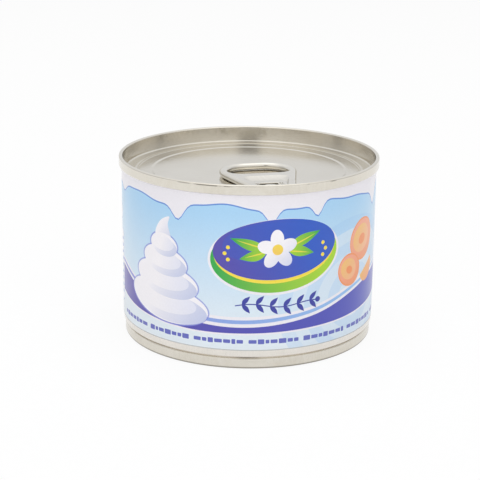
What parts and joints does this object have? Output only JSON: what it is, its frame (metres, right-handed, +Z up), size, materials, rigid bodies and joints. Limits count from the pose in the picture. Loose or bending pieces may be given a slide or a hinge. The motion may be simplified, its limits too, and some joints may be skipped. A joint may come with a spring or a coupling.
{
  "type": "ring-pull food can",
  "caption": "Short round food can for table cream: printed body necked in at the base to stack, double-seamed ends, and a ring pull tab riveted to a scored top end.",
  "frame": {"origin": "centre of the circle that the base seam stands on", "axes": "+Z up along the can's axis, -Y towards the front of the print, +X to the right as seen from the front"},
  "size_m": [0.0748, 0.0748, 0.0521],
  "materials": {
    "printed_tinplate": "gloss print on tinplate",
    "lacquered_tinplate": "semi-gloss lacquered tinplate",
    "tab_steel": "semi-gloss tinplate"
  },
  "bodies": {
    "root": {"can_body": "printed_tinplate", "top_end": "lacquered_tinplate", "base_end": "lacquered_tinplate", "pull_tab": "tab_steel"}
  },
  "joints": []
}
